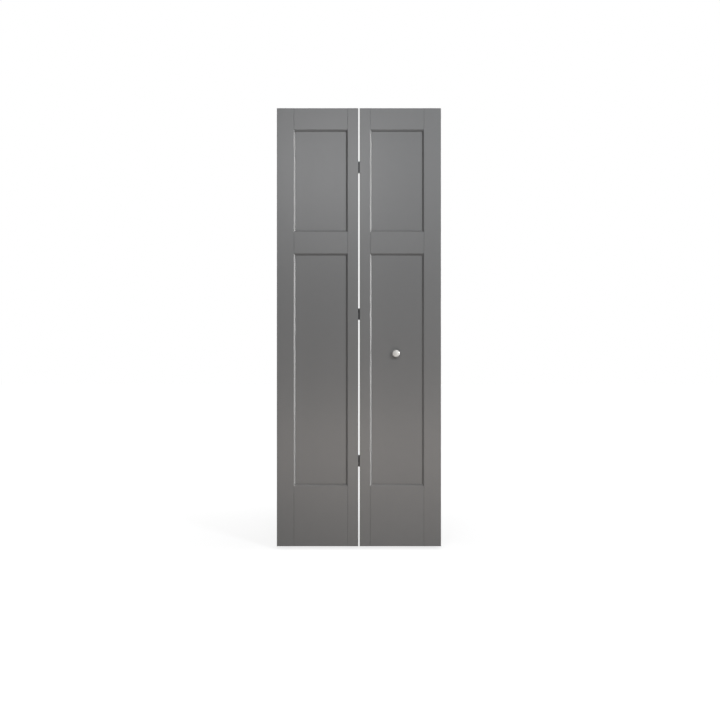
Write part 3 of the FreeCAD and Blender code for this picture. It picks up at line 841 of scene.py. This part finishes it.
tree, given, result = new_group("painted_crease_shade", {"Reach": "Float"}, {"Mask": "Float"})
openness = put(tree, "AmbientOcclusion", samples=8, Distance=given["Reach"]).outputs["AO"]
# mask of painted shade: one where a point is shut in, zero in the open
fill(tree, result, Mask=spread(tree, openness, low=OPEN_AIR, high=SHUT_IN))
painted_crease_shade = tree
print(tree.name, "has", len(tree.nodes), "nodes")

# %% [markdown]
# ## Satin grey paint
#
# The wood is sprayed a middle grey with a satin sheen. Under the coat the brush and grain marks run
# along each board, so uprights and rails need two directions. Creases get painted shade, edges show a
# trace of primer, upward ledges are lightened by dust together with painted light from above, and the
# panel by the knob has finger marks in its gloss. Two Bump nodes in a row lay the orange skin over the
# streaks.

# %% Finish: satin paint
PAINT = (0.165, 0.165, 0.163, 1)
PRIMER = (0.30, 0.30, 0.29, 1)
# lighter tone on upward faces of the paint: settled dust and painted light from above
PAINT_DUST_AND_TOP_LIGHT = (0.18, 0.178, 0.172, 1)
# colour of the painted shade in creases
PAINT_CREASE_SHADE = (0.03, 0.03, 0.029, 1)
PAINT_ROUGHNESS = 0.39
PAINT_STREAK_DULLING = 0.06
PAINT_HAND_DULLING = -0.06
PAINT_STREAK_DEPTH = 0.002 * MM
PAINT_SKIN_DEPTH = 0.002 * MM
DUST_DULLING = 0.3
CREASE_REACH = 9 * MM
STREAKS_ALONG = 5
STREAKS_ACROSS = 380


def new_finish(name):
    """A new material with its node tree and the sockets of its shader."""
    material = bpy.data.materials.new(name)
    material.use_nodes = True
    return material, material.node_tree, material.node_tree.nodes["Principled BSDF"].inputs


def effect(tree, group, **values):
    """The outputs of a node group that is placed in a material with its own values."""
    return put(tree, "Group", node_tree=group, **values).outputs


def rough_by(tree, start, *changes):
    """A roughness that begins at the start and is shifted by each (mask, amount)."""
    rough = start
    for mask, amount in changes:
        rough = sums(tree, "ADD", rough, sums(tree, "MULTIPLY", mask, amount))
    return rough


def bumped(tree, normal, height, depth):
    """A normal roughened by a height of this depth."""
    made = put(tree, "Bump", Strength=1, Distance=depth, Height=height, Normal=normal)
    return made.outputs["Normal"]


def satin_paint(name, stretch):
    """Grey satin paint with streaks along one way."""
    material, tree, shader = new_finish(name)
    coat = effect(tree, uneven_tone, Colour=PAINT, Patches=2.5, Amount=0.05)["Colour"]
    streaks = effect(tree, long_streaks, Stretch=stretch)["Value"]
    edges = effect(tree, worn_edges, Radius=1.2 * MM)
    dust = effect(tree, settled_dust, Cover=0.9)["Mask"]
    hands = effect(tree, hand_marks, Centre=knob_seat, Reach=0.14)["Mask"]
    skin = effect(tree, fine_grain, Scale=600)["Height"]
    crease_shade = effect(tree, painted_crease_shade, Reach=CREASE_REACH)["Mask"]

    # painted shade darkens the coat in creases and joints
    shaded_coat = tint(tree, crease_shade, coat, PAINT_CREASE_SHADE, share=0.8)
    worn = tint(tree, edges["Mask"], shaded_coat, PRIMER, share=0.08)
    marks = ((streaks, PAINT_STREAK_DULLING), (dust, DUST_DULLING), (hands, PAINT_HAND_DULLING))
    streaked = bumped(tree, edges["Normal"], streaks, PAINT_STREAK_DEPTH)
    # the dust tint lightens upward ledges, as dust and as painted light from above
    fill(tree, shader,
         Base_Color=tint(tree, dust, worn, PAINT_DUST_AND_TOP_LIGHT),
         Roughness=rough_by(tree, PAINT_ROUGHNESS, *marks),
         Normal=bumped(tree, streaked, skin, PAINT_SKIN_DEPTH))
    return material


upright_paint = satin_paint("satin_paint_upright", (STREAKS_ACROSS, STREAKS_ACROSS, STREAKS_ALONG))
level_paint = satin_paint("satin_paint_level", (STREAKS_ALONG, STREAKS_ACROSS, STREAKS_ACROSS))
print("paint made for uprights and rails")

# %% [markdown]
# ## Satin nickel
#
# The knob was brushed while it turned, so its scratches are rings about its axis. A Wave texture draws
# rings about its origin, and a Mapping node moves that origin to the knob. The scratches go into the
# gloss and, very shallow, into the bump. On the sharp edge of the foot a warmer brass shows through.

# %% Finish: satin nickel
NICKEL = (0.44, 0.432, 0.415, 1)
BRASS = (0.62, 0.50, 0.31, 1)
NICKEL_ROUGHNESS = 0.57
RING_DULLING = 0.1
NICKEL_HAND_DULLING = 0.08
RING_PITCH = 0.22 * MM
RING_DEPTH = 0.004 * MM
WAVES_PER_UNIT = 20 / (2 * math.pi)

nickel, tree, shader = new_finish("satin_nickel_brushed")
tone = effect(tree, uneven_tone, Colour=NICKEL, Patches=60, Amount=0.1)["Colour"]
centred = put(tree, "Mapping", Vector=place_of(tree), Location=-knob_seat).outputs["Vector"]
waves = put(tree, "TexWave", wave_type="RINGS", rings_direction="Y", Vector=centred,
            Scale=1 / (RING_PITCH * WAVES_PER_UNIT), Distortion=2.5, Detail=3, Detail_Scale=0.4)
rings = waves.outputs["Fac"]
edges = effect(tree, worn_edges, Radius=1.0 * MM)
hands = effect(tree, hand_marks, Centre=knob_seat, Reach=0.06)["Mask"]
marks = ((rings, RING_DULLING), (hands, NICKEL_HAND_DULLING))
fill(tree, shader,
     Base_Color=tint(tree, edges["Mask"], tone, BRASS, share=0.3),
     Roughness=rough_by(tree, NICKEL_ROUGHNESS, *marks),
     Normal=bumped(tree, edges["Normal"], rings, RING_DEPTH),
     Metallic=1)
print("nickel made, rings every", RING_PITCH / MM, "mm")

# %% [markdown]
# ## Zinc plated steel
#
# Hinges, pins, screws and washer are steel with a dull zinc plate. Zinc sets in crystals,
# called spangle, which a Voronoi texture gives: each cell has its own random colour, and one channel of
# it shifts tone and gloss. Rolling marks run up the sheet, rubbed edges shine, and painted shade
# darkens the hinges in the narrow gap between the leaves.

# %% Finish: zinc
ZINC = (0.075, 0.076, 0.079, 1)
RUBBED_ZINC = (0.18, 0.18, 0.185, 1)
ZINC_DUST = (0.16, 0.155, 0.147, 1)
# colour of the painted shade on the zinc in creases and in the gap
ZINC_CREASE_SHADE = (0.025, 0.025, 0.025, 1)
ZINC_ROUGHNESS = 0.32
CRYSTAL_DULLING = 0.08
ZINC_STREAK_DULLING = 0.1
SPANGLE = 420
ZINC_GRAIN_DEPTH = 0.006 * MM

zinc, tree, shader = new_finish("zinc_plate_spangled")
tone = effect(tree, uneven_tone, Colour=ZINC, Patches=35, Amount=0.25)["Colour"]
cells = put(tree, "TexVoronoi", Vector=place_of(tree), Scale=SPANGLE).outputs["Color"]
crystal = put(tree, "SeparateColor", Color=cells).outputs["Red"]
streaks = effect(tree, long_streaks, Stretch=(2500, 2500, 60))["Value"]
edges = effect(tree, worn_edges, Radius=0.4 * MM)
dust = effect(tree, settled_dust, Cover=0.6)["Mask"]
grain = effect(tree, fine_grain, Scale=3000)["Height"]
crease_shade = effect(tree, painted_crease_shade, Reach=CREASE_REACH)["Mask"]
spangled = tint(tree, crystal, tone, RUBBED_ZINC, share=0.25)
rubbed = tint(tree, edges["Mask"], spangled, RUBBED_ZINC, share=0.8)
# painted shade darkens the zinc where it is shut in, as in the gap between the leaves
shaded_zinc = tint(tree, crease_shade, rubbed, ZINC_CREASE_SHADE, share=0.6)
marks = ((crystal, CRYSTAL_DULLING), (streaks, ZINC_STREAK_DULLING), (dust, DUST_DULLING))
fill(tree, shader,
     Base_Color=tint(tree, dust, shaded_zinc, ZINC_DUST),
     Roughness=rough_by(tree, ZINC_ROUGHNESS, *marks),
     Normal=bumped(tree, edges["Normal"], grain, ZINC_GRAIN_DEPTH),
     Metallic=spread(tree, dust, low=0, high=0.6, new_low=1, new_high=0.3))
print("zinc made, crystals of about", round(1 / SPANGLE / MM, 1), "mm")

# %% [markdown]
# ## Spring steel
#
# The two springs are drawn wire, dark from tempering, with a trace of oil that makes the gloss uneven.

# %% Finish: spring steel
TEMPERED = (0.16, 0.155, 0.155, 1)
TEMPER_BLUE = (0.10, 0.12, 0.17, 1)
SPRING_ROUGHNESS = 0.22
OIL_DULLING = 0.16
WIRE_STREAK_DEPTH = 0.003 * MM

spring_steel, tree, shader = new_finish("spring_steel_tempered")
tone = effect(tree, uneven_tone, Colour=TEMPERED, Patches=80, Amount=0.3)["Colour"]
streaks = effect(tree, long_streaks, Stretch=(900, 900, 300))["Value"]
edges = effect(tree, worn_edges, Radius=0.1 * MM)
blued = spread(tree, streaks, low=0.45, high=0.7)
fill(tree, shader,
     Base_Color=tint(tree, blued, tone, TEMPER_BLUE),
     Roughness=rough_by(tree, SPRING_ROUGHNESS, (streaks, OIL_DULLING)),
     Normal=bumped(tree, edges["Normal"], streaks, WIRE_STREAK_DEPTH),
     Metallic=1)
print("spring steel made")

# %% [markdown]
# ## Nylon
#
# Sleeves, bush and the guide's pin are moulded in natural nylon: milky, yellowed in patches, with the
# fine grain of the mould. A little subsurface scattering lets light bleed through thin flanges.

# %% Finish: nylon
NYLON = (0.70, 0.685, 0.62, 1)
NYLON_AGED = (0.66, 0.60, 0.46, 1)
NYLON_DUST = (0.42, 0.40, 0.37, 1)
NYLON_ROUGHNESS = 0.45
NYLON_EDGE_DULLING = 0.1
NYLON_GRAIN_DEPTH = 0.01 * MM
NYLON_SCATTER = 0.3
NYLON_BLEED = 0.8 * MM

nylon, tree, shader = new_finish("nylon_moulded")
tone = effect(tree, uneven_tone, Colour=NYLON, Patches=70, Amount=0.08)["Colour"]
yellow = spread(tree, noise(tree, Scale=40, Detail=2), low=0.45, high=0.75)
edges = effect(tree, worn_edges, Radius=0.3 * MM)
dust = effect(tree, settled_dust, Cover=0.6)["Mask"]
grain = effect(tree, fine_grain, Scale=1800)["Height"]
aged = tint(tree, yellow, tone, NYLON_AGED, share=0.5)
marks = ((edges["Mask"], NYLON_EDGE_DULLING), (dust, DUST_DULLING))
fill(tree, shader,
     Base_Color=tint(tree, dust, aged, NYLON_DUST),
     Roughness=rough_by(tree, NYLON_ROUGHNESS, *marks),
     Normal=bumped(tree, edges["Normal"], grain, NYLON_GRAIN_DEPTH),
     Subsurface_Weight=NYLON_SCATTER,
     Subsurface_Scale=NYLON_BLEED)
print("nylon made")

# %% [markdown]
# ## Dowel wood
#
# The dowels inside the rails are turned from bare beech, with grain along their length and short dark
# flecks. They only show when a leaf is taken apart, but a part that comes apart should look right
# inside too.

# %% Finish: dowel wood
BEECH = (0.56, 0.37, 0.20, 1)
BEECH_DARK = (0.36, 0.20, 0.09, 1)
BEECH_ROUGHNESS = 0.55
GRAIN_DULLING = 0.15
BEECH_GRAIN_DEPTH = 0.05 * MM

beech, tree, shader = new_finish("beech_bare")
tone = effect(tree, uneven_tone, Colour=BEECH, Patches=30, Amount=0.15)["Colour"]
grain = effect(tree, long_streaks, Stretch=(40, 1600, 1600))["Value"]
streaks = effect(tree, long_streaks, Stretch=(350, 4000, 4000))["Value"]
edges = effect(tree, worn_edges, Radius=0.5 * MM)
lines = spread(tree, grain, low=0.4, high=0.75)
flecks = spread(tree, streaks, low=0.62, high=0.7)
lined = tint(tree, lines, tone, BEECH_DARK, share=0.6)
fill(tree, shader,
     Base_Color=tint(tree, flecks, lined, BEECH_DARK, share=0.7),
     Roughness=rough_by(tree, BEECH_ROUGHNESS, (grain, GRAIN_DULLING)),
     Normal=bumped(tree, edges["Normal"], grain, BEECH_GRAIN_DEPTH))
print("beech made")

# %% [markdown]
# ## Smooth shading and riding along
#
# Flat boards with narrow rounded edges shade badly if every normal is averaged: the big faces look
# swollen. Weighted normals let the large faces keep their own direction, so that only the narrow strips
# turn. Each new piece then rides on the body of the construction piece that it stands for.

# %% Seat every new piece
SMOOTH_ANGLE = math.radians(40)


def settle(piece, node, material):
    """Smooths a piece, gives it its finish and lets it ride in place of its construction node."""
    work_on(piece)
    bpy.ops.object.shade_smooth_by_angle(angle=SMOOTH_ANGLE)
    apply_modifier(piece, "WEIGHTED_NORMAL", keep_sharp=True)
    piece.data.materials.clear()
    piece.data.materials.append(material)
    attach(piece, frame["nodes"][node]["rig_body"])
    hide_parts(node)


for leaf, boards in (("pivot_", wood), ("lead_", lead_wood)):
    for name, piece in boards.items():
        paint = level_paint if name.endswith("rail") else upright_paint
        settle(piece, leaf + name, paint)
settle(knob, "knob", nickel)
steel = {"knob_washer": washer, "knob_screw": knob_screw}
steel |= {"pivot_hinge_screws": hinge_screw, "lead_hinge_screws": lead_screws}
for node, piece in steel.items():
    settle(piece, node, zinc)
print("pieces of wood:", len(wood) + len(lead_wood), "and of steel:", len(steel), "and the knob")

# %% [markdown]
# The hinge plates, pins, sleeves, springs, bush and dowels of the construction model already have their
# true shape, so they stay and only get their finish. The record says which slot each of them belongs
# to.

# %% Dress the pieces that stay
finish = {"zinc_steel": zinc, "spring_steel": spring_steel, "nylon": nylon, "dowel_wood": beech}
slots = {part["node"]: part["material_slot"] for part in frame["record"]["subparts"]}
kept = [node for node, obj in frame["nodes"].items() if not obj.hide_render]
for node in kept:
    obj = frame["nodes"][node]
    obj.data.materials.clear()
    obj.data.materials.append(finish[slots[node]])
print("construction pieces that stay:", len(kept))

# %% [markdown]
# ## The floor
#
# The door hangs a finger's width above a pale floor that looks white but still takes its shadow. Paint
# that white would need a lot of light, and that light would wash out the door. So the floor is a grey
# for the lamps and adds a glow that only the camera, mirrors and glass see. The glow rises to full
# white away from the door, where there is no shadow to show. Close under the door little light gets in,
# so there an Ambient Occlusion node dims the glow.

# %% Lay the floor
FLOOR_SIZE = 60
FLOOR_DROP = 14 * MM
FLOOR_GREY = (0.4, 0.4, 0.4, 1)
WHITE = (1, 1, 1, 1)
GLOW_BY_DOOR = 0.86
GLOW_FAR = 1.0
SHADOW_START = 0.5
SHADOW_END = 1.8
CONTACT_REACH = 80 * MM
CONTACT_DIM = 0.86


def seen_by_eye(tree):
    """One for rays from the camera, a mirror or glass, and zero for rays that carry light."""
    path = put(tree, "LightPath")
    direct = sums(tree, "MAXIMUM", path.outputs["Is Camera Ray"], path.outputs["Is Glossy Ray"])
    return sums(tree, "MAXIMUM", direct, path.outputs["Is Transmission Ray"])


start_fresh()
bpy.ops.mesh.primitive_plane_add(size=FLOOR_SIZE, location=(gap_middle, 0, -FLOOR_DROP))
floor = bpy.context.object
floor.name = "floor"

floor_paint, tree, shader = new_finish("floor")
away = put(tree, "VectorMath", operation="LENGTH", Vector=place_of(tree)).outputs["Value"]
open_glow = spread(tree, away, SHADOW_START, SHADOW_END, GLOW_BY_DOOR, GLOW_FAR)
openness = put(tree, "AmbientOcclusion", samples=16, Distance=CONTACT_REACH).outputs["AO"]
contact = spread(tree, openness, low=0, high=1, new_low=CONTACT_DIM)
glow = sums(tree, "MULTIPLY", open_glow, contact)
fill(tree, shader, Base_Color=FLOOR_GREY, Roughness=1, Specular_IOR_Level=0, Emission_Color=WHITE,
     Emission_Strength=sums(tree, "MULTIPLY", glow, seen_by_eye(tree)))
floor.data.materials.append(floor_paint)
print("floor", FLOOR_SIZE, "m square,", FLOOR_DROP / MM, "mm below the door")

# %% [markdown]
# ## The camera
#
# The picture was taken straight on, from a little under half the door's height. A level camera keeps
# the uprights upright. Its distance and lens are a plain pair that gives the same framing.

# %% Place the camera
CAMERA_DISTANCE = 4.58
CAMERA_ACROSS = 0.3556
CAMERA_HEIGHT = 0.8532
LENS = 50
SENSOR = 36

camera_data = bpy.data.cameras.new("camera")
camera_data.lens = LENS
camera_data.sensor_width = SENSOR
camera = bpy.data.objects.new("camera", camera_data)
camera.location = (CAMERA_ACROSS, -half_thickness - CAMERA_DISTANCE, CAMERA_HEIGHT)
camera.rotation_euler = (math.radians(90), 0, 0)
bpy.context.scene.collection.objects.link(camera)
bpy.context.scene.camera = camera
bpy.context.scene.view_settings.view_transform = "Standard"
print("camera at", [round(place, 3) for place in camera.location])

# %% [markdown]
# ## The surroundings
#
# The backdrop is white, again only for the eye: as a lamp it gives just enough fill to open the
# shadows. A studio is never equally bright all round, and satin and metal show that. So what they
# mirror falls off from white on the right, where most lamps stand, to dark grey on the left. In a
# world, the Generated coordinates are the direction that a ray takes.

# %% Light the world
FILL = 0.02
ROOM_LEFT = 0.1
ROOM_RIGHT = 1.0

world = bpy.data.worlds.new("studio")
bpy.context.scene.world = world
world.use_nodes = True
tree = world.node_tree
direction = put(tree, "TexCoord").outputs["Generated"]
heading = put(tree, "SeparateXYZ", Vector=direction).outputs["X"]
room = spread(tree, heading, -1, 1, ROOM_LEFT, ROOM_RIGHT)
mirrored = sums(tree, "MAXIMUM", room, put(tree, "LightPath").outputs["Is Camera Ray"])
level = spread(tree, seen_by_eye(tree), 0, 1, FILL, mirrored)
fill(tree, tree.nodes["Background"].inputs, Color=WHITE, Strength=level)
print("world fill", FILL)

# %% [markdown]
# ## The lamps
#
# Satin paint mirrors a soft box as a broad pale patch, and this door shows two: one across the upper
# panels and one low on the tall panels. A mirror sends light off at the angle at which it came, so the
# height of each front lamp follows from the height of its patch. Two key lamps on the right throw the
# knob's shadow, and a small one overhead lights ledges and tops. A tall strip far to the right skims
# the front. It lights the bevels that look right and leaves the others dark, and that draws the panels.
# Two lamps behind light the back for anyone who walks round.
#
# The strip and the back lamps would also throw hard shadows on the floor. A studio keeps such light off
# with a black flag, and Blender with light linking.

# %% Helpers that place lamps
COOL = (0.985, 0.985, 1.0)
SKY = (0.89, 0.945, 1.0)
WARM = (1.0, 0.9, 0.83)
PLAIN = (1.0, 1.0, 1.0)


def lamp(name, colour, place, target, width, height, power):
    """A soft box at a place, turned to a target; the camera doesn't see it."""
    data = bpy.data.lights.new(name, "AREA")
    data.shape = "RECTANGLE"
    data.size = width
    data.size_y = height
    data.energy = power
    data.color = colour
    made = bpy.data.objects.new(name, data)
    made.location = place
    made.rotation_euler = (target - place).to_track_quat("-Z", "Y").to_euler()
    made.visible_camera = False
    bpy.context.scene.collection.objects.link(made)
    return made


def front_lamp(name, colour, patch, across, distance, **box):
    """A soft box in front of the door whose mirror image lies at the height of the patch."""
    up = patch + (patch - CAMERA_HEIGHT) * distance / CAMERA_DISTANCE
    place = Vector((gap_middle + across, -half_thickness - distance, up))
    return lamp(name, colour, place, place + BACK, **box)


def side_lamp(name, colour, angle, distance, up, **box):
    """A soft box that looks at the door; its angle goes from straight in front round by the right."""
    turn_by = math.radians(angle)
    place = Vector((gap_middle + distance * math.sin(turn_by), -distance * math.cos(turn_by), up))
    return lamp(name, colour, place, Vector((gap_middle, 0, up)), **box)


def keep_off_floor(*lamps):
    """Screens lamps off from the floor."""
    flag = bpy.data.collections.new("flag")
    flag.objects.link(floor)
    flag.collection_objects[0].light_linking.link_state = "EXCLUDE"
    for screened in lamps:
        screened.light_linking.receiver_collection = flag


# %% [markdown]
# Distances and sizes are in metres, angles in degrees and power in watts. The lamps that face the upper
# half are a little bluer and the low ones a little warmer, because the paint in the picture goes from
# cool at the top to warm at the foot.

# %% Place the lamps
OVERHEAD_AHEAD = 0.14
OVERHEAD_HEIGHT = 3.2

front_lamp("front_high", COOL, patch=1.72, across=-0.22, distance=2.2, width=0.8, height=0.35, power=17.2)
front_lamp("front_low", WARM, patch=0.45, across=0.1, distance=0.85, width=1.3, height=0.4, power=3.05)
side_lamp("key_high", SKY, angle=31, distance=3.8, up=2.75, width=0.6, height=0.75, power=57)
side_lamp("key_right", WARM, angle=44, distance=3.4, up=2.1, width=0.8, height=1.8, power=9)
spot = Vector((gap_middle, -OVERHEAD_AHEAD, 0))
lamp("overhead", PLAIN, spot + UP * OVERHEAD_HEIGHT, spot, width=1.2, height=0.2, power=5)
strip = side_lamp("right_strip", PLAIN, angle=88, distance=4.0, up=1.3, width=0.3, height=3.6, power=256)
back_lamps = [
    side_lamp(name, PLAIN, angle=angle, distance=2.6, up=1.9, width=1.2, height=1.8, power=45)
    for name, angle in (("behind_right", 125), ("behind_left", 235))]
keep_off_floor(strip, *back_lamps)
print("lamps:", [light.name for light in bpy.data.lights])
